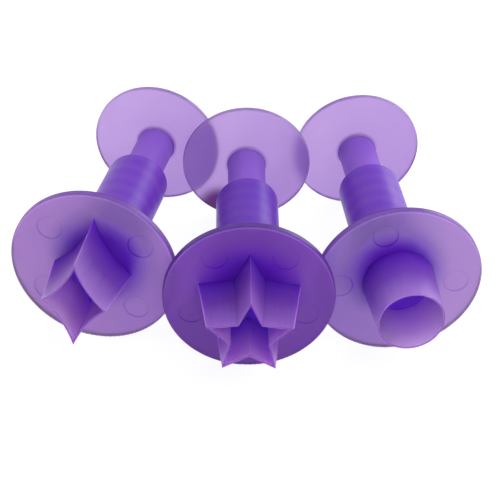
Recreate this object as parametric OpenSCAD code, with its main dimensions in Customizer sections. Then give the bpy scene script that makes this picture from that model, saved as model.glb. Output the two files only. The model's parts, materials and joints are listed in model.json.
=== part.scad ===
// Set of three plunger cutters for sugar paste: a diamond, a star and a round one.
// Each has a moulded body with the cutting wall, flange and barrel, a plunger with a thumb disc,
// an ejector foot whose long stem is pressed into the plunger, and a steel return spring.
// The set lies on its side, each cutter on the rims of its flange and its thumb disc.
// Millimetres, +Z up, cutting edges towards -Y, origin under the middle of the row.

/* [Flange] */
// Diameter of the round flange
flange_d = 41.7; // [38:0.1:56]
// Thickness of the flange
flange_t = 2; // [1.4:0.1:3]
// Radius of the edges of the flange's and the thumb disc's rims
rim_round = 0.4; // [0.2:0.05:0.6]
// Diameter of the round marks that the mould's ejector pins leave on the flange
mark_d = 6.2; // [3:0.1:6.4]
// Depth of those marks
mark_depth = 0.12; // [0.05:0.01:0.4]
// Distance of the marks from the cutter's axis
mark_ring_r = 14.5; // [13.5:0.1:15.5]

/* [Cutting walls] */
// Height of the cutting wall in front of the flange
wall_h = 16; // [12:0.5:22]
// Thickness of the wall at the cutting edge
edge_t = 0.42; // [0.3:0.02:0.9]
// Radius of the round cutting edge
round_edge_r = 8.2; // [7:0.1:9.5]
// How much wider the round wall is at its root, on the radius
round_flare = 0.75; // [0.3:0.05:1.2]
// Distance from the axis to a point of the star's cutting edge
star_edge_r = 10.8; // [9:0.1:12]
// Distance from the axis to an inner corner of the star's cutting edge
star_waist_r = 5.15; // [4.4:0.05:6]
// How much further out the star's points are at the root of the wall
star_flare = 2.15; // [0.8:0.05:2.6]
// How much further out the star's inner corners are at the root
star_waist_flare = 1.25; // [0.5:0.05:1.8]
// Turn of the star about its axis
star_turn = 3; // [-10:0.5:10]
// Half the width of the diamond's cutting edge
diamond_edge_w = 7.9; // [7:0.1:9]
// Half the height of the diamond's cutting edge
diamond_edge_h = 11.65; // [10:0.05:13]
// Radius of the diamond's four hollow sides, at the cutting edge
diamond_side_r = 26; // [22:0.5:60]
// How much further out the side corners are at the root
diamond_flare_w = 1.85; // [0.8:0.05:2.2]
// How much further out the top and bottom corners are at the root
diamond_flare_h = 2.7; // [1.2:0.05:3.2]
// Turn of the diamond about its axis
diamond_turn = 2; // [-10:0.5:10]

/* [Barrel] */
// Diameter of the barrel at the flange
barrel_d = 16.1; // [14.5:0.1:19]
// Diameter of the barrel at its mouth
mouth_d = 15.8; // [13.5:0.1:19]
// Distance from the flange's front face back to the barrel's mouth
barrel_l = 40.6; // [36:0.1:56]
// Radius of the rounding on the barrel's outer end
mouth_round = 0.9; // [0.3:0.1:1.5]
// Radius of the fillet between the barrel and the flange
barrel_fillet = 1; // [0.4:0.1:2]
// Thickness of the floor between the cutting wall's cavity and the spring
floor_t = 3; // [2:0.1:5]

/* [Plunger] */
// Diameter of the thumb disc
thumb_d = 33.4; // [26:0.1:36]
// Thickness of the thumb disc
thumb_t = 1.6; // [1.2:0.1:3]
// Length of shaft that shows between the barrel's mouth and the thumb disc
shaft_show = 17.7; // [10:0.1:20]
// Length of shaft inside the barrel when the plunger is up
shaft_engage = 8; // [6:0.5:12]
// Diameter of the shaft
shaft_d = 9.8; // [9:0.1:11]
// Radius of the fillet between the shaft and the thumb disc
shaft_fillet = 1.2; // [0.4:0.1:1.6]
// Chamfer on the shaft's inner end
shaft_chamfer = 0.4; // [0.2:0.05:0.5]
// Depth of the hole up the middle of the shaft
core_l = 18; // [15:0.5:20]

/* [Ejector foot] */
// Thickness of the foot's pad
pad_t = 1.8; // [1.4:0.1:3.4]
// Gap between the pad and the wall round it
pad_clear = 0.28; // [0.15:0.01:0.5]
// Diameter of the stem
stem_d = 5; // [4:0.1:5.6]
// Length of stem pressed into the shaft
stem_grip = 12; // [8:0.5:14]

/* [Spring] */
// Diameter of the spring's wire
wire_d = 0.9; // [0.6:0.05:1.1]
// Outside diameter of the spring
coil_d = 9.1; // [8.4:0.1:9.6]
// Rise of each open turn
coil_pitch = 4.9; // [4:0.1:7]
// Closed turns at each end
end_turns = 1; // [1:0.25:2]
// Gap between closed turns
end_gap = 0.5; // [0.45:0.05:0.8]

/* [Fits] */
// Radial clearance of the shaft in the barrel and of the stem in the floor
slide_clear = 0.08; // [0.03:0.01:0.1]
// Radial clearance of the stem in the shaft, which it is pressed into
press_clear = 0.02; // [0.01:0.01:0.05]
// Gap left where one piece rests on another
seat_gap = 0.1; // [0.05:0.05:0.3]

/* [Row on the table] */
// Place of the middle cutter's flange across the row
row_x = 1.2; // [-10:0.1:10]
// Place of the middle cutter's flange along its length
row_y = -28.5; // [-40:0.5:-20]
// Turn of the middle cutter about the vertical
row_turn = 4.2; // [-10:0.2:10]
// How far the diamond cutter is turned towards the middle one
diamond_yaw = 13.75; // [6:0.25:18]
// How far the round cutter is turned towards the middle one
round_yaw = 7; // [4:0.25:12]
// How far the diamond cutter's flange reaches behind the middle one
diamond_overlap = 3.9; // [0:0.05:6]
// How far the round cutter's flange reaches behind the middle one
round_overlap = 4.95; // [0:0.05:7]
// Least gap between neighbouring discs
row_gap = 0.68; // [0.3:0.02:3]
// How much further back the round cutter lies than it needs to
round_setback = 4; // [0:0.1:10]

/* [Hidden] */
$fn = 96;

// Sizes that follow from the ones above
flange_r = flange_d / 2;
barrel_r = barrel_d / 2;
mouth_r = mouth_d / 2;
thumb_r = thumb_d / 2;
shaft_r = shaft_d / 2;
stem_r = stem_d / 2;
bore_r = shaft_r + slide_clear;
root_sink = flange_t / 2;
cut_past = 1;

// Heights on the cutter's axis, from the flange's front face towards the cutting edge
mouth_s = -barrel_l;
thumb_s = mouth_s - shaft_show;
shaft_end_s = mouth_s + shaft_engage;
stem_end_s = shaft_end_s - stem_grip;
core_end_s = shaft_end_s - core_l;
pad_s = seat_gap;

// Travel that brings the shaft's fillet to the barrel's mouth
travel = shaft_show - shaft_fillet - seat_gap;

// Spring between the floor and the end of the shaft
spring_room = -floor_t - shaft_end_s;
coil_r = (coil_d - wire_d) / 2;
rings_per_turn = 8;
wire_sides = 6;
end_pitch = wire_d + end_gap;
wire_rise = spring_room - 2 * seat_gap - wire_d;
open_rise = wire_rise - 2 * end_turns * end_pitch;
open_turns = round(open_rise / coil_pitch * rings_per_turn) / rings_per_turn;
open_pitch = open_rise / open_turns;
turns = open_turns + 2 * end_turns;
spring_rings = round(turns * rings_per_turn);

// Tilt at which both rims touch the table
tilt = atan2(flange_r - thumb_r, thumb_t - thumb_s - flange_t);
flange_z = rim_round + (flange_r - rim_round) * cos(tilt) + (flange_t - rim_round) * sin(tilt);

// How far behind the middle cutter a neighbour has to lie, from its turn towards it
function setback(yaw) = row_gap + max(
    flange_t + flange_r * sin(yaw),
    thumb_t + thumb_r * sin(yaw) + (thumb_t - thumb_s) * cos(tilt) * (1 - cos(yaw))
);

// Half of a star's outline, and the distance of its sides from the axis
function star_points(r, waist_r) = [
    for (i = [0:9]) let (a = 90 + star_turn + 36 * i, q = i % 2 == 0 ? r : waist_r)
        [q * cos(a), q * sin(a)]
];
function star_side(r, waist_r) =
    r * waist_r * sin(36) / sqrt(r * r + waist_r * waist_r - 2 * r * waist_r * cos(36));
function star_inset(depth) = 1 - depth / star_side(star_edge_r, star_waist_r);

// Centre of the circle that hollows the diamond's upper right side, from the corners' reach
function side_centre(w, h, r) =
    let (chord = norm([w, h]), off = sqrt(r * r - chord * chord / 4))
    [w / 2 + off * h / chord, h / 2 + off * w / chord];

// Centre line of the spring, and the height of the wire after a number of turns
function wire_height(u) =
    u < end_turns ? end_pitch * u
    : u < turns - end_turns ? end_pitch * end_turns + open_pitch * (u - end_turns)
    : wire_rise - end_pitch * (turns - u);
function wire_centre(i) =
    let (u = i / rings_per_turn)
    [coil_r * cos(360 * u), coil_r * sin(360 * u), wire_height(u) + wire_d / 2];
wire_line = [for (i = [0:spring_rings]) wire_centre(i)];
wire_gap = min([
    for (i = [0:spring_rings], j = [i + rings_per_turn / 2:1:spring_rings])
        norm(wire_line[i] - wire_line[j]) - wire_d
]);
echo(str("Least gap between turns of a spring: ", wire_gap));
echo(str("Plunger travel: ", travel));
echo(str("Tilt of the cutters: ", tilt));

// Places a cutter on the table: its flange's front centre at x and y, turned about the vertical
module lay(x, y, yaw) {
    translate([x, y, flange_z])
        rotate([90 - tilt, 0, yaw])
            children();
}

module lay_star() {
    lay(row_x, row_y, row_turn) children();
}

// Places a neighbour at a distance to one side of the middle cutter, and behind it
module lay_beside(side, apart, behind, yaw) {
    x = row_x + side * apart * cos(row_turn) - behind * sin(row_turn);
    y = row_y + side * apart * sin(row_turn) + behind * cos(row_turn);
    lay(x, y, row_turn + side * yaw) children();
}

module lay_diamond() {
    lay_beside(-1, flange_d - diamond_overlap, setback(diamond_yaw), diamond_yaw) children();
}

module lay_round() {
    lay_beside(1, flange_d - round_overlap, setback(round_yaw) + round_setback, round_yaw)
        children();
}

// Half section of a disc whose rim has rounded edges, its lower face at s
module disc_section(r, t, s) {
    translate([0, s]) square([r - rim_round, t]);
    translate([0, s + rim_round]) square([r, t - 2 * rim_round]);
    for (edge_s = [s + rim_round, s + t - rim_round])
        translate([r - rim_round, edge_s]) circle(r = rim_round);
}

// Half section of a fillet that fills the corner at x and s, towards the signs given
module fillet_section(x, s, r, up) {
    difference() {
        translate([x, up > 0 ? s : s - r]) square(r);
        translate([x + r, s + up * r]) circle(r = r);
    }
}

// Flange and barrel as one revolved half section
module barrel_solid() {
    rotate_extrude() {
        disc_section(flange_r, flange_t, -flange_t);
        polygon([
            [0, mouth_s + mouth_round],
            [mouth_r, mouth_s + mouth_round],
            [barrel_r, -flange_t - barrel_fillet],
            [barrel_r, -root_sink],
            [0, -root_sink]
        ]);
        translate([0, mouth_s]) square([mouth_r - mouth_round, 2 * mouth_round]);
        translate([mouth_r - mouth_round, mouth_s + mouth_round]) circle(r = mouth_round);
        fillet_section(barrel_r, -flange_t, barrel_fillet, -1);
    }
}

// Wall that spreads from the straight-sided outline at the edge to the one at the root
module drafted_wall(edge, root) {
    reach = (wall_h + root_sink) / wall_h;
    base = [for (i = [0:len(edge) - 1]) edge[i] + (root[i] - edge[i]) * reach];
    n = len(edge);
    polyhedron(
        points = concat(
            [for (p = base) [p[0], p[1], -root_sink]],
            [for (p = edge) [p[0], p[1], wall_h]]
        ),
        faces = concat(
            [[for (i = [n - 1:-1:0]) n + i], [for (i = [0:n - 1]) i]],
            [for (i = [0:n - 1]) [i, n + i, (i + 1) % n]],
            [for (i = [0:n - 1]) [(i + 1) % n, n + i, n + (i + 1) % n]]
        )
    );
}

module round_wall() {
    slope = round_flare / wall_h;
    translate([0, 0, -root_sink])
        cylinder(
            r1 = round_edge_r + slope * (wall_h + root_sink), r2 = round_edge_r,
            h = wall_h + root_sink
        );
}

module star_wall() {
    drafted_wall(
        star_points(star_edge_r, star_waist_r),
        star_points(star_edge_r + star_flare, star_waist_r + star_waist_flare)
    );
}

// Block whose four sides are hollowed by cylinders that lean from the root to the edge
module diamond_wall() {
    root_w = diamond_edge_w + diamond_flare_w;
    root_h = diamond_edge_h + diamond_flare_h;
    edge = side_centre(diamond_edge_w, diamond_edge_h, diamond_side_r);
    lean = side_centre(root_w, root_h, diamond_side_r) - edge;
    slant = atan2(norm(lean), wall_h);
    rotate(diamond_turn)
        difference() {
            translate([-root_w - cut_past, -root_h - cut_past, -root_sink])
                cube([2 * (root_w + cut_past), 2 * (root_h + cut_past), wall_h + root_sink]);
            for (x = [0, 1], y = [0, 1])
                mirror([x, 0, 0])
                    mirror([0, y, 0])
                        translate([edge[0], edge[1], wall_h])
                            rotate([0, -slant, atan2(lean[1], lean[0])])
                                translate([0, 0, -1.5 * wall_h])
                                    cylinder(r = diamond_side_r * cos(slant), h = 2 * wall_h, $fn = 240);
        }
}

// Outlines that lie a given depth inside the cutting edge, for the cavity and the pad
module round_outline(depth) {
    circle(r = round_edge_r - depth);
}

module star_outline(depth) {
    k = star_inset(depth);
    polygon(star_points(k * star_edge_r, k * star_waist_r));
}

module diamond_outline(depth) {
    c = side_centre(diamond_edge_w, diamond_edge_h, diamond_side_r);
    rotate(diamond_turn)
        difference() {
            square(2 * [diamond_edge_w, diamond_edge_h], center = true);
            for (x = [-1, 1], y = [-1, 1])
                translate([x * c[0], y * c[1]]) circle(r = diamond_side_r + depth, $fn = 240);
        }
}

// Round marks on the flange at the angles given
module marks(angles) {
    for (a = angles)
        rotate(a)
            translate([mark_ring_r, 0, -mark_depth]) cylinder(d = mark_d, h = cut_past, $fn = 48);
}

// Bore for the spring and shaft, and the stem's hole through the floor
module bores() {
    translate([0, 0, mouth_s - cut_past])
        cylinder(r = bore_r, h = barrel_l - floor_t + cut_past);
    translate([0, 0, -floor_t - cut_past])
        cylinder(r = stem_r + slide_clear, h = floor_t + 2 * cut_past, $fn = 48);
}

// A whole cutter body: children 0 is the drafted wall, 1 the outline of its cavity
module cutter_body(mark_angles) {
    difference() {
        union() {
            barrel_solid();
            children(0);
        }
        bores();
        linear_extrude(wall_h + cut_past) children(1);
        marks(mark_angles);
    }
}

// Thumb disc and shaft as one moulding, with the hole that takes the stem
module plunger() {
    difference() {
        rotate_extrude() {
            disc_section(thumb_r, thumb_t, thumb_s - thumb_t);
            translate([0, thumb_s - thumb_t / 2])
                square([shaft_r, shaft_end_s - shaft_chamfer - thumb_s + thumb_t / 2]);
            polygon([
                [0, shaft_end_s - shaft_chamfer - cut_past],
                [shaft_r, shaft_end_s - shaft_chamfer - cut_past],
                [shaft_r, shaft_end_s - shaft_chamfer],
                [shaft_r - shaft_chamfer, shaft_end_s],
                [0, shaft_end_s]
            ]);
            fillet_section(shaft_r, thumb_s, shaft_fillet, 1);
        }
        translate([0, 0, core_end_s])
            cylinder(r = stem_r + press_clear, h = core_l + cut_past, $fn = 48);
    }
}

// Foot: a pad of the cavity's outline on a long round stem, children is the outline
module ejector_foot() {
    translate([0, 0, pad_s]) linear_extrude(pad_t) children();
    translate([0, 0, stem_end_s])
        cylinder(r = stem_r, h = pad_s + pad_t / 2 - stem_end_s, $fn = 48);
}

// Spring as one unbroken tube along its centre line
module spring() {
    function ring(i) =
        let (a = 360 * i / rings_per_turn, c = wire_line[i], out = [cos(a), sin(a), 0],
            ahead = wire_line[min(i + 1, spring_rings)] - wire_line[max(i - 1, 0)],
            up = cross(out, ahead) / norm(cross(out, ahead)))
        [for (k = [0:wire_sides - 1]) let (b = 360 * k / wire_sides)
            c + wire_d / 2 * (cos(b) * out + sin(b) * up)];
    last = spring_rings * wire_sides;
    translate([0, 0, -floor_t])
        mirror([0, 0, 1])
            translate([0, 0, seat_gap])
                polyhedron(
                    points = [for (i = [0:spring_rings]) each ring(i)],
                    faces = concat(
                        [for (i = [0:spring_rings - 1], k = [0:wire_sides - 1])
                            let (a = i * wire_sides, m = (k + 1) % wire_sides)
                            [a + k, a + m, a + wire_sides + k]],
                        [for (i = [0:spring_rings - 1], k = [0:wire_sides - 1])
                            let (a = i * wire_sides, m = (k + 1) % wire_sides)
                            [a + m, a + wire_sides + m, a + wire_sides + k]],
                        [for (k = [1:wire_sides - 2]) [0, k + 1, k]],
                        [for (k = [1:wire_sides - 2]) [last, last + k, last + k + 1]]
                    )
                );
}

// Angles of the ejector-pin marks round each wall
round_marks = [359, 109, 184, 284];
star_marks = [for (i = [0:4]) 54 + star_turn + 72 * i];
diamond_marks = [39, 142, 218, 322];

module diamond_cutter_body() {
    color("mediumpurple") lay_diamond() cutter_body(diamond_marks) {
        diamond_wall();
        diamond_outline(edge_t);
    }
}

module diamond_plunger() {
    color("plum") lay_diamond() plunger();
}

module diamond_ejector_foot() {
    color("mediumslateblue") lay_diamond() ejector_foot() diamond_outline(edge_t + pad_clear);
}

module diamond_spring() {
    color("silver") lay_diamond() spring();
}

module star_cutter_body() {
    color("mediumpurple") lay_star() cutter_body(star_marks) {
        star_wall();
        star_outline(edge_t);
    }
}

module star_plunger() {
    color("plum") lay_star() plunger();
}

module star_ejector_foot() {
    color("mediumslateblue") lay_star() ejector_foot() star_outline(edge_t + pad_clear);
}

module star_spring() {
    color("silver") lay_star() spring();
}

module round_cutter_body() {
    color("mediumpurple") lay_round() cutter_body(round_marks) {
        round_wall();
        round_outline(edge_t);
    }
}

module round_plunger() {
    color("plum") lay_round() plunger();
}

module round_ejector_foot() {
    color("mediumslateblue") lay_round() ejector_foot() round_outline(edge_t + pad_clear);
}

module round_spring() {
    color("silver") lay_round() spring();
}

diamond_cutter_body();
diamond_plunger();
diamond_ejector_foot();
diamond_spring();
star_cutter_body();
star_plunger();
star_ejector_foot();
star_spring();
round_cutter_body();
round_plunger();
round_ejector_foot();
round_spring();
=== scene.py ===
import json
import math
from types import SimpleNamespace

import bmesh
import bpy
from mathutils import Matrix, Vector


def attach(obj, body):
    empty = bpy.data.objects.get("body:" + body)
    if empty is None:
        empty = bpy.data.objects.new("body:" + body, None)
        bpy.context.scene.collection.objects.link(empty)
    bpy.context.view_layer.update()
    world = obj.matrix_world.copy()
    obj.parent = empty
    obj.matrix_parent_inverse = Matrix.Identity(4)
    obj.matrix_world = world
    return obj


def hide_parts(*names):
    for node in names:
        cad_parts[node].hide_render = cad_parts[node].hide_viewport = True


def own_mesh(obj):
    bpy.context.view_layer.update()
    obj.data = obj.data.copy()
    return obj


MM = 0.001
CUTTERS = ("diamond", "star", "round")

# Camera, fitted to the photograph's rims: the point on the table that it looks at, and the way it looks
AIM = Vector((0.243, 14.591, 0.0)) * MM
DISTANCE = 526.498 * MM
PITCH = 0.6932
ROLL = 0.1040
LENS = 144.0
SENSOR = 36.0
CLIP = (0.01, 20.0)

# Lights: name, place, the point that each looks at, diameter and power
LIGHTS = (
    ("key", (0.35, -0.3, 0.7), (0, 0, 0.02), 0.5, 2.4),
    ("back", (0.46, 0.62, 0.26), (0, 0.02, 0.02), 0.42, 1.7),
)
ROOM_LIGHT = 0.95

# A glowing white table
TABLE_HALF = 3.0
TABLE_LIGHT = 0.88
TABLE_SPECULAR = 0.2
TABLE_TONES = ((0.0, (0.18, 0.18, 0.18)), (1.0, (0.2, 0.2, 0.2)))

# Sizes of a spring, repeated from the part's source
WIRE_D = 0.9 * MM
COIL_D = 9.1 * MM
SPRING_ROOM = 29.6 * MM
SEAT_GAP = 0.1 * MM
END_PITCH = 1.4 * MM
OPEN_PITCH = 4.9 * MM

# The open turns are rounded to parts of a turn, as in the source. The wire itself is finer here
TURN_PARTS = 8
WIRE_SIDES = 12
RINGS_PER_TURN = 40

# Heights on a cutter's axis from its flange's front face, repeated from the part's source
FLOOR_S = -3.0 * MM
SHAFT_END_S = -32.6 * MM

# From here on the numbers are for the materials. Lengths that have no MM are in millimetres, in a cutter's
# own directions: right, up, and forward from the flange's front face. These repeat the part's source
WALL_HEIGHT = 16.0
FLANGE_BACK = -2.0
FLANGE_RADIUS = 20.85
DISC_FRONT = -58.3
DISC_BACK = -59.9
DISC_RADIUS = 16.7
SHAFT_RADIUS = 4.9

# Rings left by the ejector pins of the mould: their places round the flange in degrees, how far they lie
# from the axis, and their size, repeated from the part's source
PIN_MARKS = {
    "diamond": (39, 142, 218, 322),
    "star": (57, 129, 201, 273, 345),
    "round": (359, 109, 184, 284),
}
PIN_REACH = 14.5
PIN_RADIUS = 3.1

# Colours are linear. Tones run from the deep violet of thick plastic to the lavender of a thin edge
BODY_TONES = (
    (0.0, (0.11, 0.008, 0.50)),
    (0.3, (0.20, 0.065, 0.44)),
    (0.55, (0.35, 0.20, 0.51)),
    (0.75, (0.50, 0.35, 0.58)),
    (1.0, (0.88, 0.66, 0.96)),
)
# The star's tones and rim are darker copies of the others': painted shade of the star, which lies between
# its neighbours
STAR_SHADED_TONES = (
    (0.0, (0.09, 0.008, 0.46)),
    (0.3, (0.17, 0.048, 0.40)),
    (0.55, (0.29, 0.13, 0.46)),
    (0.75, (0.44, 0.25, 0.56)),
    (1.0, (0.85, 0.60, 0.95)),
)
PLUNGER_TONES = ((0.0, (0.20, 0.06, 0.62)), (0.5, (0.36, 0.18, 0.62)), (1.0, (0.84, 0.78, 0.92)))
FOOT_TONES = ((0.0, (0.165, 0.03, 0.65)), (1.0, (0.205, 0.045, 0.71)))
STEEL_TONES = ((0.0, (0.56, 0.56, 0.60)), (1.0, (0.72, 0.72, 0.75)))
# FLANGE_DEEP: the flange's deepest colour, for the painted shade round the barrel and from side to side, and
# for the pins' rings
FLANGE_DEEP = (0.13, 0.010, 0.54)
RIM = (0.18, 0.055, 0.38)
STAR_SHADED_RIM = (0.09, 0.025, 0.24)
OUTLINE = (0.07, 0.02, 0.17)
PAINTED_HIGHLIGHT = (0.80, 0.66, 0.95)
DUSK = (0.06, 0.01, 0.20)
UNDERSIDE = (0.33, 0.08, 0.55)
INNER_SHADE = (0.50, 0.17, 0.72)
WINE = (0.16, 0.02, 0.22)

# Milky plastic: how far red, green and blue scatter under the surface, the colour that thickness leaves
# and how quickly, its gloss, and how much scatters on an outline, where less keeps the line sharp
SCATTER_REACH = (1.6 * MM, 0.8 * MM, 2.8 * MM)
BODY_ABSORB = (0.45, 0.0, 0.94)
PLUNGER_ABSORB = (0.45, 0.0, 0.75)
BODY_DENSITY = 300.0
PLUNGER_DENSITY = 400.0
FOOT_DENSITY = 200.0
PLASTIC_IOR = 1.42
PLASTIC_SPECULAR = 0.25
BODY_LINE_SPREAD = 0.1
DISC_LINE_SPREAD = 0.35

# Share of the light that passes straight through each surface
BARREL_CLEAR = 0.15
WALL_CLEAR = 0.3
EDGE_CLEAR = 0.45
HALO_CLEAR = 0.3
RIM_CLEAR = 0.3
OUTLINE_CLEAR = 0.0
SHAFT_CLEAR = 0.2
DISC_CLEAR = 0.95
DISC_RIM_CLEAR = 0.8
DISC_OUTLINE_CLEAR = 0.6
DISC_CORE_CLEAR = 0.5
FOOT_CLEAR = 0.1

# Tones of single surfaces. The wall's tone rises with a power of its height
EDGE_TONE = 0.46
BARREL_TONE = 0.15
SHAFT_TONE = 0.25
DISC_TONE = 0.93
DISC_RIM_TONE = 0.66
DISC_OUTLINE_TONE = 0.42
DISC_BEHIND_TONE = 0.55
WALL_POWER = 0.8

# The flange's colour goes from its own at 0 to FLANGE_DEEP at 1: its plain value, and what a pin's line adds
FLANGE_SHADE = 0.15
PIN_STRENGTH = 0.26

# Slow drift of the tones, fine streaks along the wall, bands round the barrel that paint the shade of the
# spring's turns seen through it, and the patches of tone in the foot, the steel and the table
DRIFT_SIZE = 12 * MM
BODY_DRIFT = 0.03
PLUNGER_DRIFT = 0.02
STREAK_WIDTH = 0.7
STREAK_STRETCH = 0.06
STREAK_STRENGTH = 0.03
BAND_STRENGTH = 0.035
FOOT_PATCH = 8 * MM
STEEL_PATCH = 3 * MM
TABLE_PATCH = 400 * MM

# Roughness (middle and spread), the size of its patches, and the size, height and strength of the grain
BODY_ROUGH = (0.38, 0.03)
PLUNGER_ROUGH = (0.46, 0.03)
FOOT_ROUGH = (0.32, 0.03)
STEEL_ROUGH = (0.34, 0.08)
TABLE_ROUGH = (0.7, 0.03)
ROUGH_SIZE = 5 * MM
PLASTIC_GRAIN = (2 * MM, 0.004 * MM)
STEEL_GRAIN = (0.1 * MM, 0.004 * MM)
TABLE_GRAIN = (2 * MM, 0.01 * MM)
GRAIN_STRENGTH = 0.4
GRAIN_DETAIL = 3

# Margins that keep the limits of the zones clear of the surfaces beside them
MARGIN = 0.03
DISC_MARGIN = 0.1
SHAFT_MARGIN = 0.2

# Where each zone begins to change and where it has changed. A painted shade of the barrel behind it darkens
# the flange round a point HALO_Y above the axis. HALO_CLEARING is the share of this halo over which the
# flange gets less clear
HALO_Y = 3.0
HALO_REACH = (6.0, 15.5)
HALO_CLEARING = (0.0, 0.5)
SIDE_TO_SIDE = (18.0, -18.0)
CORNER_TO_CORNER = (-16.0, 16.0)
DUSK_Y = (-16.0, 4.0)

# Painted shade on the undersides of the wall, with its strength at the root and at the edge, and the painted
# shade and light inside the wall
UNDER_Y = (-5.0, -1.0)
UNDER_Z = (3.0, 15.0)
UNDER_STRENGTH = (0.8, 0.5)
INNER_Z = (2.0, 8.0)
INNER_X = (-3.0, 4.0)

# Rims and the painted shade of their dark outlines, given from the rim's radius and from the disc's back
# face
RIM_STRENGTH = 0.9
RIM_FADE = (-0.35, -0.05)
DISC_RIM_FADE = (-0.3, -0.05)
OUTLINE_FADE = (-0.3, -0.15)
OUTLINE_BACK = (0.4, 0.65)
OUTLINE_Y = (-6.0, 4.0)

# A painted highlight: the pale line in the upper half of the flange's rim, and how far each thin line fades
# from its middle
RIM_LINE = 20.4
RIM_LINE_Y = (2.0, 12.0)
RIM_LINE_FADE = (0.04, 0.22)
PIN_LINE_FADE = (0.05, 0.22)

# The foot of the shaft shows through the thumb disc's outer face: deeper in tone, and less clear
BEHIND_REACH = (4.3, 5.1)
CORE_REACH = (3.5, 4.4)

# A dark wine-red patch painted on the star's thumb disc: its middle, and where it fades
PATCH = (-6.5, -13.5)
PATCH_REACH = (2.5, 7.0)

# What the cutters share, and what is each one's own:
#   flange                   the flange's colour away from the barrel
#   inner_deep, inner_light  colours inside the wall: painted shade by the foot, painted light further out
#   tones                    tones of the wall and the barrel
#   wall_tone                tone of the wall at the cutting edge
#   halo_x                   middle of the painted shade of the barrel on the flange
#   lean                     how much lighter the flange gets towards its right rim, as painted light and shade
#   dusk                     how much darker it gets towards its bottom, a painted shade
#   rim, rim_line            colour of its rim, and strength of the painted highlight in it
#   inner_shade              how much deeper the painted shade inside the wall gets towards the right
#   flange_clear             how clear the flange is away from the barrel
#   inner_clear              how clear the inside of the wall is
#   disc_corner              tone of the thumb disc at its lower right, a painted shade
SHARED_LOOKS = {
    "tones": BODY_TONES,
    "wall_tone": 0.60,
    "lean": 0.0,
    "dusk": 0.0,
    "rim": RIM,
    "rim_line": 0.4,
    "inner_shade": 0.0,
    "flange_clear": 0.68,
    "inner_clear": 0.85,
    "disc_corner": 0.81,
}
OWN_LOOKS = {
    "diamond": {
        "flange": (0.57, 0.36, 0.64),
        "inner_deep": (0.66, 0.40, 0.90),
        "inner_light": (0.92, 0.68, 1.0),
        "halo_x": 1.8,
        "lean": -0.10,
        "inner_shade": 0.8,
    },
    # The star is the same plastic as the others, painted darker as shade: its flange, tones and rim
    "star": {
        "flange": (0.27, 0.08, 0.50),
        "inner_deep": (0.52, 0.20, 1.0),
        "inner_light": (0.68, 0.38, 1.0),
        "tones": STAR_SHADED_TONES,
        "halo_x": -0.5,
        "dusk": 0.33,
        "rim": STAR_SHADED_RIM,
        "rim_line": 0.2,
        "flange_clear": 0.45,
        "inner_clear": 0.7,
        "disc_corner": 0.77,
    },
    "round": {
        "flange": (0.57, 0.39, 0.66),
        "inner_deep": (0.64, 0.40, 0.88),
        "inner_light": (0.82, 0.62, 0.97),
        "wall_tone": 0.52,
        "halo_x": -1.5,
        "lean": 0.23,
    },
}
LOOKS = {cutter: SimpleNamespace(**{**SHARED_LOOKS, **own}) for cutter, own in OWN_LOOKS.items()}

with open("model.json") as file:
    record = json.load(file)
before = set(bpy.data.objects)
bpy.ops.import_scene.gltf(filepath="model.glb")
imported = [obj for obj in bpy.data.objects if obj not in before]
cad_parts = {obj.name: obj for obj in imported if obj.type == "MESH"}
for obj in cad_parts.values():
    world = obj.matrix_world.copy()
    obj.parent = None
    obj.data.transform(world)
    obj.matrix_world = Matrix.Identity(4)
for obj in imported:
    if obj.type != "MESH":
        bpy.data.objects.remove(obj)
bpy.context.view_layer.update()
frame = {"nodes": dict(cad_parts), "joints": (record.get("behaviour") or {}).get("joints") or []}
scene = bpy.context.scene


def spring_facts():
    """For each spring node: its joint, the unit vector and the fixed end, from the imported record."""
    found = {}
    for joint in frame["joints"]:
        for item in joint.get("deforming_nodes", []):
            axis = Vector(item["axis"]).normalized()
            found[item["node"]] = (joint, axis, Vector(item["fixed_end_m"]))
    return found


def cutter_name(node):
    return node.split("_")[0]


def cutter_axes(joint_axis):
    """Right, up and forward of a cutter whose axis is known up to its sign: forward is towards -Y."""
    forward = joint_axis if joint_axis.y < 0 else -joint_axis
    right = Vector((0, 0, 1)).cross(forward).normalized()
    return right, forward.cross(right).normalized(), forward


def laid_cutters(springs):
    """Right, up, forward and the middle of the flange's front face for each cutter as it lies. A spring's
    fixed end is on the body's floor or on the end of the shaft."""
    laid = {}
    for node, (_, axis, fixed_end) in springs.items():
        right, up, forward = cutter_axes(axis)
        from_flange = FLOOR_S if axis.dot(forward) > 0 else SHAFT_END_S
        laid[cutter_name(node)] = (right, up, forward, fixed_end - forward * from_flange)
    return laid


SPRINGS = spring_facts()
LAID = laid_cutters(SPRINGS)


# Materials


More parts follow.
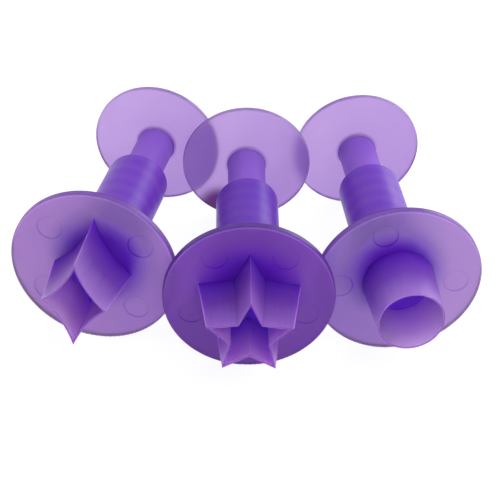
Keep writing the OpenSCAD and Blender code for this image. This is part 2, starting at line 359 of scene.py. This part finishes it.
class Nodes:
    """Short names for the nodes of one material. Colours are given as red, green and blue."""

    def __init__(self, name):
        self.mat = bpy.data.materials.new(name)
        self.mat.use_nodes = True
        self.tree = self.mat.node_tree
        self.shader = self.tree.nodes["Principled BSDF"]
        self.place = self.tree.nodes.new("ShaderNodeTexCoord").outputs["Object"]

    def feed(self, socket, value):
        if isinstance(value, bpy.types.NodeSocket):
            self.tree.links.new(value, socket)
        else:
            socket.default_value = value

    def node(self, kind, **inputs):
        node = self.tree.nodes.new(kind)
        for key, value in inputs.items():
            self.feed(node.inputs[key.replace("_", " ")], value)
        return node

    def noise(self, size, detail=2.0, where=None):
        where = where or self.place
        node = self.node("ShaderNodeTexNoise", Vector=where, Scale=1 / size, Detail=detail)
        return node.outputs["Fac"]

    def drift(self, size, low, high, where=None):
        """Patches of the given size that wander from low to high. Most noise lies between 0.3 and 0.7."""
        return self.ranged(self.noise(size, where=where), low, high, 0.3, 0.7)

    def ranged(self, value, low, high, start, end, smooth=False):
        """low up to start, high from end on"""
        node = self.node(
            "ShaderNodeMapRange", Value=value, From_Min=start, From_Max=end, To_Min=low, To_Max=high
        )
        if smooth:
            node.interpolation_type = "SMOOTHSTEP"
        return node.outputs["Result"]

    def rise(self, value, start, end):
        return self.ranged(value, 0.0, 1.0, start, end)

    def fall(self, value, start, end, smooth=False):
        return self.ranged(value, 1.0, 0.0, start, end, smooth)

    def math(self, operation, a, b=0.0):
        node = self.tree.nodes.new("ShaderNodeMath")
        node.operation = operation
        self.feed(node.inputs[0], a)
        self.feed(node.inputs[1], b)
        return node.outputs[0]

    def add(self, a, b):
        return self.math("ADD", a, b)

    def minus(self, a, b):
        return self.math("SUBTRACT", a, b)

    def times(self, a, b):
        return self.math("MULTIPLY", a, b)

    def above(self, value, limit):
        return self.math("GREATER_THAN", value, limit)

    def below(self, value, limit):
        return self.math("LESS_THAN", value, limit)

    def off(self, value, middle):
        return self.math("ABSOLUTE", self.minus(value, middle))

    def dot(self, a, b):
        node = self.tree.nodes.new("ShaderNodeVectorMath")
        node.operation = "DOT_PRODUCT"
        self.feed(node.inputs[0], a)
        self.feed(node.inputs[1], b)
        return node.outputs["Value"]

    def distance(self, x, y, x0=0.0, y0=0.0):
        aside = self.minus(x, x0)
        upwards = self.minus(y, y0)
        squares = self.add(self.times(aside, aside), self.times(upwards, upwards))
        return self.math("SQRT", squares)

    def choose(self, which, a, b):
        """a where which is 0, b where it is 1"""
        node = self.tree.nodes.new("ShaderNodeMix")
        self.feed(node.inputs["Factor"], which)
        self.feed(node.inputs["A"], a)
        self.feed(node.inputs["B"], b)
        return node.outputs["Result"]

    def paint(self, socket, colour):
        self.feed(socket, colour if isinstance(colour, bpy.types.NodeSocket) else (*colour, 1))

    def blend(self, which, a, b):
        """colour a where which is 0, colour b where it is 1"""
        node = self.tree.nodes.new("ShaderNodeMix")
        node.data_type = "RGBA"
        sockets = {socket.identifier: socket for socket in node.inputs}
        self.feed(sockets["Factor_Float"], which)
        self.paint(sockets["A_Color"], a)
        self.paint(sockets["B_Color"], b)
        return next(socket for socket in node.outputs if socket.identifier == "Result_Color")

    def ramp(self, value, stops):
        node = self.node("ShaderNodeValToRGB", Fac=value)
        elements = node.color_ramp.elements
        while len(elements) < len(stops):
            elements.new(0.5)
        for element, (at, colour) in zip(elements, stops):
            element.position = at
            element.color = (*colour, 1)
        return node.outputs["Color"]

    def finish(self, colour, rough, grain):
        """rough: middle and spread of the roughness. grain: size and height of the unevenness."""
        middle, spread = rough
        size, height = grain
        self.feed(self.shader.inputs["Base Color"], colour)
        roughness = self.drift(ROUGH_SIZE, middle - spread, middle + spread)
        self.feed(self.shader.inputs["Roughness"], roughness)
        bumps = self.noise(size, GRAIN_DETAIL)
        bump = self.node("ShaderNodeBump", Strength=GRAIN_STRENGTH, Distance=height, Height=bumps)
        self.feed(self.shader.inputs["Normal"], bump.outputs["Normal"])
        return self.mat


def along_cutter(nodes, cutter):
    """A point of a surface in millimetres in its cutter's own directions: x right, y up, z forward from
    the flange's front face, and reach away from the axis. inwards is 1 where the surface looks towards
    the axis."""
    right, up, forward, centre = LAID[cutter]
    turn = Matrix((right, up, forward)).transposed().to_euler("XYZ")
    mapping = nodes.node(
        "ShaderNodeMapping", Vector=nodes.place, Location=centre, Rotation=turn, Scale=(MM, MM, MM)
    )
    mapping.vector_type = "TEXTURE"
    split = nodes.node("ShaderNodeSeparateXYZ", Vector=mapping.outputs["Vector"])
    x, y, z = (split.outputs[k] for k in "XYZ")
    normal = nodes.tree.nodes.new("ShaderNodeNewGeometry").outputs["Normal"]
    outwards = nodes.add(nodes.times(x, nodes.dot(normal, right)), nodes.times(y, nodes.dot(normal, up)))
    reach = nodes.distance(x, y)
    return SimpleNamespace(x=x, y=y, z=z, reach=reach, inwards=nodes.below(outwards, 0.0))


def milky(nodes, clear, absorb_colour, density, spread=1.0):
    """Light passes through thin walls and is swallowed by thick ones, green first and blue last. Where
    spread is low it scatters less under the surface, so that a thin line of colour stays sharp."""
    inputs = nodes.shader.inputs
    nodes.feed(inputs["Transmission Weight"], clear)
    inputs["IOR"].default_value = PLASTIC_IOR
    inputs["Specular IOR Level"].default_value = PLASTIC_SPECULAR
    nodes.feed(inputs["Subsurface Weight"], spread)
    inputs["Subsurface Radius"].default_value = SCATTER_REACH
    inputs["Subsurface Scale"].default_value = 1.0
    absorb = nodes.node("ShaderNodeVolumeAbsorption", Color=(*absorb_colour, 1), Density=density)
    nodes.feed(nodes.tree.nodes["Material Output"].inputs["Volume"], absorb.outputs["Volume"])


def near(surface, margins):
    """Where a zone fades, given by its distances from a surface."""
    return surface + margins[0], surface + margins[1]


def outline(nodes, at, radius, back):
    """Painted shade: 1 on the back edge of a disc's rim and on the whole rim of its lower half, away from
    the light.
    """
    at_back = nodes.fall(at.z, *near(back, OUTLINE_BACK))
    low = nodes.fall(at.y, *OUTLINE_Y)
    on_rim = nodes.rise(at.reach, *near(radius, OUTLINE_FADE))
    return nodes.times(nodes.math("MAXIMUM", at_back, low), on_rim)


def pin_lines(nodes, at, cutter):
    """1 on a thin line round each ejector pin's ring."""
    lines = 0.0
    for degrees in PIN_MARKS[cutter]:
        angle = math.radians(degrees)
        away = nodes.distance(at.x, at.y, PIN_REACH * math.cos(angle), PIN_REACH * math.sin(angle))
        line = nodes.fall(nodes.off(away, PIN_RADIUS), *PIN_LINE_FADE)
        lines = nodes.math("MAXIMUM", lines, line)
    return lines


def flange_colour(nodes, at, cutter, halo, drift, on_rim, outlined):
    """Painted shade, deep where the barrel stands behind it, with the pins' rings, a deeper rim and a
    painted highlight in it.
    """
    looks = LOOKS[cutter]
    # Painted light and shade: the flange gets lighter or darker from side to side by lean
    shade = nodes.ranged(at.x, FLANGE_SHADE - looks.lean, FLANGE_SHADE + looks.lean, *SIDE_TO_SIDE)
    deep = nodes.add(nodes.choose(halo, shade, 1.0), drift)
    deep = nodes.add(deep, nodes.times(pin_lines(nodes, at, cutter), PIN_STRENGTH))
    colour = nodes.ramp(deep, ((0.0, looks.flange), (1.0, FLANGE_DEEP)))
    colour = nodes.blend(on_rim, colour, looks.rim)
    # Painted shade: a dark outline on the rim
    colour = nodes.blend(outlined, colour, OUTLINE)
    # Painted shade towards the bottom of the flange
    colour = nodes.blend(nodes.ranged(at.y, looks.dusk, 0.0, *DUSK_Y), colour, DUSK)
    # Painted highlight: a pale line in the upper half of the rim
    line = nodes.ranged(nodes.off(at.reach, RIM_LINE), looks.rim_line, 0.0, *RIM_LINE_FADE)
    return nodes.blend(nodes.times(line, nodes.rise(at.y, *RIM_LINE_Y)), colour, PAINTED_HIGHLIGHT)


def outside_colour(nodes, at, looks, drift, on_wall, on_edge):
    """The wall gets lighter towards the cutting edge, partly from its thinner plastic and partly as painted
    shade at its root, with faint streaks along it. The barrel has faint bands, a painted shade of the
    spring's turns. The wall's underside gets a painted shade."""
    height = nodes.math("POWER", nodes.rise(at.z, 0.0, WALL_HEIGHT), WALL_POWER)
    drawn = nodes.node("ShaderNodeCombineXYZ", X=at.x, Y=at.y, Z=nodes.times(at.z, STREAK_STRETCH))
    streaks = nodes.drift(STREAK_WIDTH, -STREAK_STRENGTH, STREAK_STRENGTH, drawn.outputs["Vector"])
    wall = nodes.add(nodes.times(height, looks.wall_tone), nodes.times(streaks, height))
    # Painted shade of the spring's turns, seen through the barrel as faint bands
    turn = nodes.add(nodes.times(at.z, math.tau * MM / OPEN_PITCH), nodes.math("ARCTAN2", at.y, at.x))
    bands = nodes.times(nodes.math("SINE", turn), BAND_STRENGTH)
    barrel = nodes.add(bands, BARREL_TONE)
    tone = nodes.choose(on_wall, barrel, nodes.choose(on_edge, wall, EDGE_TONE))
    colour = nodes.ramp(nodes.add(tone, drift), looks.tones)
    # Painted shade on the underside of the wall
    under = nodes.times(nodes.fall(at.y, *UNDER_Y), nodes.ranged(at.z, *UNDER_STRENGTH, *UNDER_Z))
    return nodes.blend(nodes.times(under, on_wall), colour, UNDERSIDE)


def inside_colour(nodes, at, looks):
    # Painted shade deep inside the wall by the foot, and painted light further out, where light shines
    # through the thin wall; where inner_shade is set, a painted shade towards the right
    height = nodes.rise(at.z, *INNER_Z)
    colour = nodes.ramp(height, ((0.0, looks.inner_deep), (1.0, looks.inner_light)))
    if looks.inner_shade:
        colour = nodes.blend(nodes.ranged(at.x, 0.0, looks.inner_shade, *INNER_X), colour, INNER_SHADE)
    return colour


def body_plastic(cutter):
    nodes = Nodes(f"{cutter}_body_plastic")
    looks = LOOKS[cutter]
    at = along_cutter(nodes, cutter)
    on_wall = nodes.above(at.z, MARGIN)
    on_edge = nodes.above(at.z, WALL_HEIGHT - MARGIN)
    on_barrel = nodes.below(at.z, FLANGE_BACK - MARGIN)
    on_flange = nodes.minus(nodes.minus(1.0, on_wall), on_barrel)
    in_wall = nodes.times(at.inwards, nodes.minus(on_wall, on_edge))
    on_rim = nodes.ranged(at.reach, 0.0, RIM_STRENGTH, *near(FLANGE_RADIUS, RIM_FADE))
    outlined = outline(nodes, at, FLANGE_RADIUS, FLANGE_BACK)
    # Painted shade of the barrel that stands behind the flange
    halo = nodes.fall(nodes.distance(at.x, at.y, looks.halo_x, HALO_Y), *HALO_REACH, smooth=True)
    drift = nodes.drift(DRIFT_SIZE, -BODY_DRIFT, BODY_DRIFT)

    outside = outside_colour(nodes, at, looks, drift, on_wall, on_edge)
    flange = flange_colour(nodes, at, cutter, halo, drift, on_rim, outlined)
    wall_and_barrel = nodes.blend(in_wall, outside, inside_colour(nodes, at, looks))
    colour = nodes.blend(on_flange, wall_and_barrel, flange)

    wall = nodes.choose(at.inwards, WALL_CLEAR, looks.inner_clear)
    wall = nodes.choose(on_edge, wall, EDGE_CLEAR)
    flange = nodes.ranged(halo, looks.flange_clear, HALO_CLEAR, *HALO_CLEARING)
    flange = nodes.choose(on_rim, flange, RIM_CLEAR)
    flange = nodes.choose(outlined, flange, OUTLINE_CLEAR)
    clear = nodes.choose(on_flange, nodes.choose(on_wall, BARREL_CLEAR, wall), flange)
    spread = nodes.choose(outlined, 1.0, BODY_LINE_SPREAD)
    milky(nodes, clear, BODY_ABSORB, BODY_DENSITY, spread)
    return nodes.finish(colour, BODY_ROUGH, PLASTIC_GRAIN)


def plunger_plastic(cutter):
    nodes = Nodes(f"{cutter}_plunger_plastic")
    at = along_cutter(nodes, cutter)
    before_disc = nodes.above(at.z, DISC_FRONT + DISC_MARGIN)
    on_shaft = nodes.times(before_disc, nodes.below(at.reach, SHAFT_RADIUS + SHAFT_MARGIN))
    on_back = nodes.below(at.z, DISC_BACK + DISC_MARGIN)
    behind = nodes.times(on_back, nodes.fall(at.reach, *BEHIND_REACH))
    core = nodes.times(on_back, nodes.fall(at.reach, *CORE_REACH))
    on_rim = nodes.rise(at.reach, *near(DISC_RADIUS, DISC_RIM_FADE))
    outlined = outline(nodes, at, DISC_RADIUS, DISC_BACK)

    # Painted shade towards the thumb disc's lower right
    corner = nodes.minus(at.x, at.y)
    disc = nodes.ranged(corner, DISC_TONE, LOOKS[cutter].disc_corner, *CORNER_TO_CORNER)
    disc = nodes.choose(on_rim, disc, DISC_RIM_TONE)
    # Painted shade on the disc's outline
    disc = nodes.choose(outlined, disc, DISC_OUTLINE_TONE)
    disc = nodes.choose(behind, disc, DISC_BEHIND_TONE)
    drift = nodes.drift(DRIFT_SIZE, -PLUNGER_DRIFT, PLUNGER_DRIFT)
    colour = nodes.ramp(nodes.add(nodes.choose(on_shaft, disc, SHAFT_TONE), drift), PLUNGER_TONES)
    if cutter == "star":
        patch = nodes.fall(nodes.distance(at.x, at.y, *PATCH), *PATCH_REACH, smooth=True)
        on_disc = nodes.below(at.z, DISC_FRONT + DISC_MARGIN)
        colour = nodes.blend(nodes.times(patch, on_disc), colour, WINE)

    clear = nodes.choose(on_rim, DISC_CLEAR, DISC_RIM_CLEAR)
    clear = nodes.choose(outlined, clear, DISC_OUTLINE_CLEAR)
    clear = nodes.choose(core, clear, DISC_CORE_CLEAR)
    clear = nodes.choose(on_shaft, clear, SHAFT_CLEAR)
    spread = nodes.choose(outlined, 1.0, DISC_LINE_SPREAD)
    milky(nodes, clear, PLUNGER_ABSORB, PLUNGER_DENSITY, spread)
    return nodes.finish(colour, PLUNGER_ROUGH, PLASTIC_GRAIN)


def foot_plastic():
    nodes = Nodes("foot_plastic")
    milky(nodes, FOOT_CLEAR, BODY_ABSORB, FOOT_DENSITY)
    colour = nodes.ramp(nodes.drift(FOOT_PATCH, 0.0, 1.0), FOOT_TONES)
    return nodes.finish(colour, FOOT_ROUGH, PLASTIC_GRAIN)


def spring_steel():
    nodes = Nodes("spring_steel")
    nodes.shader.inputs["Metallic"].default_value = 1.0
    colour = nodes.ramp(nodes.drift(STEEL_PATCH, 0.0, 1.0), STEEL_TONES)
    return nodes.finish(colour, STEEL_ROUGH, STEEL_GRAIN)


def dress(node, material):
    data = frame["nodes"][node].data
    data.materials.clear()
    data.materials.append(material)


FOOT_PLASTIC = foot_plastic()
SPRING_STEEL = spring_steel()
for cutter in CUTTERS:
    dress(f"{cutter}_cutter_body", body_plastic(cutter))
    dress(f"{cutter}_plunger", plunger_plastic(cutter))
    dress(f"{cutter}_ejector_foot", FOOT_PLASTIC)


# Springs, wound from smooth round wire with closed turns at both ends


def wire_path():
    """Turns along the spring and the height of the wire's middle after each, from the spring's foot."""
    rise = SPRING_ROOM - 2 * SEAT_GAP - WIRE_D
    open_rise = rise - 2 * END_PITCH
    open_turns = round(open_rise / OPEN_PITCH * TURN_PARTS) / TURN_PARTS
    turns = open_turns + 2
    for i in range(round(turns * RINGS_PER_TURN) + 1):
        turn = i / RINGS_PER_TURN
        if turn < 1:
            height = END_PITCH * turn
        elif turn < turns - 1:
            height = END_PITCH + open_rise / open_turns * (turn - 1)
        else:
            height = rise - END_PITCH * (turns - turn)
        yield turn, height + WIRE_D / 2 + SEAT_GAP


def add_spring(name, foot, right, up, along):
    """A tube round the wire's path. foot is where the spring stands, along the way it rises."""
    coil_radius = (COIL_D - WIRE_D) / 2
    centres = []
    for turn, height in wire_path():
        out = right * math.cos(math.tau * turn) + up * math.sin(math.tau * turn)
        centres.append((foot + out * coil_radius + along * height, out))
    mesh = bmesh.new()
    rings = []
    for i, (centre, out) in enumerate(centres):
        ahead = centres[min(i + 1, len(centres) - 1)][0] - centres[max(i - 1, 0)][0]
        side = out.cross(ahead).normalized()
        ring = []
        for k in range(WIRE_SIDES):
            angle = math.tau * k / WIRE_SIDES
            offset = out * math.cos(angle) + side * math.sin(angle)
            ring.append(mesh.verts.new(centre + offset * WIRE_D / 2))
        rings.append(ring)
    for a, b in zip(rings, rings[1:]):
        for k in range(WIRE_SIDES):
            m = (k + 1) % WIRE_SIDES
            mesh.faces.new((a[k], a[m], b[m], b[k]))
    mesh.faces.new(rings[0][::-1])
    mesh.faces.new(rings[-1])
    bmesh.ops.recalc_face_normals(mesh, faces=mesh.faces)
    data = bpy.data.meshes.new(name)
    mesh.to_mesh(data)
    mesh.free()
    for face in data.polygons:
        face.use_smooth = len(face.vertices) < WIRE_SIDES
    data.materials.append(SPRING_STEEL)
    obj = bpy.data.objects.new(name, data)
    scene.collection.objects.link(obj)
    return obj


for node, (joint, _, fixed_end) in SPRINGS.items():
    cutter = cutter_name(node)
    right, up, forward, centre = LAID[cutter]
    spring = add_spring(f"{cutter}_return_spring", centre + forward * FLOOR_S, right, up, -forward)
    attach(spring, "set")
    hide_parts(node)
    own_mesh(spring)


# Table, light and camera


def make_floor():
    """A white light table, so that the plastic is lit from below as well."""
    data = bpy.data.meshes.new("floor")
    h = TABLE_HALF
    data.from_pydata([(-h, -h, 0), (h, -h, 0), (h, h, 0), (-h, h, 0)], [], [(0, 1, 2, 3)])
    nodes = Nodes("floor_white")
    nodes.shader.inputs["Specular IOR Level"].default_value = TABLE_SPECULAR
    nodes.shader.inputs["Emission Color"].default_value = (1, 1, 1, 1)
    nodes.shader.inputs["Emission Strength"].default_value = TABLE_LIGHT
    colour = nodes.ramp(nodes.drift(TABLE_PATCH, 0.0, 1.0), TABLE_TONES)
    data.materials.append(nodes.finish(colour, TABLE_ROUGH, TABLE_GRAIN))
    floor = bpy.data.objects.new("floor", data)
    scene.collection.objects.link(floor)


def make_light(name, place, aim, size, power):
    light = bpy.data.lights.new(name, "AREA")
    light.shape = "DISK"
    light.size = size
    light.energy = power
    obj = bpy.data.objects.new(name, light)
    obj.location = place
    obj.rotation_euler = (Vector(aim) - Vector(place)).to_track_quat("-Z", "Y").to_euler()
    scene.collection.objects.link(obj)


def make_world():
    world = bpy.data.worlds.new("soft_studio")
    world.use_nodes = True
    back = world.node_tree.nodes["Background"]
    back.inputs["Color"].default_value = (1, 1, 1, 1)
    back.inputs["Strength"].default_value = ROOM_LIGHT
    scene.world = world


def make_camera():
    data = bpy.data.cameras.new("camera")
    data.lens = LENS
    data.sensor_width = SENSOR
    data.clip_start, data.clip_end = CLIP
    camera = bpy.data.objects.new("camera", data)
    cos, sin = math.cos(PITCH), math.sin(PITCH)
    ahead = Vector((0, cos, -sin))
    level = Vector((1, 0, 0))
    above = Vector((0, sin, cos))
    right = level * math.cos(ROLL) + above * math.sin(ROLL)
    up = above * math.cos(ROLL) - level * math.sin(ROLL)
    turn = Matrix((right, up, -ahead)).transposed().to_4x4()
    camera.matrix_world = Matrix.Translation(AIM - ahead * DISTANCE) @ turn
    scene.collection.objects.link(camera)
    scene.camera = camera


make_floor()
make_world()
for light in LIGHTS:
    make_light(*light)
make_camera()
scene.view_settings.view_transform = "Standard"

# Light crosses many thin walls of plastic before it leaves the row
scene.cycles.max_bounces = 24
scene.cycles.transmission_bounces = 20
scene.cycles.glossy_bounces = 6
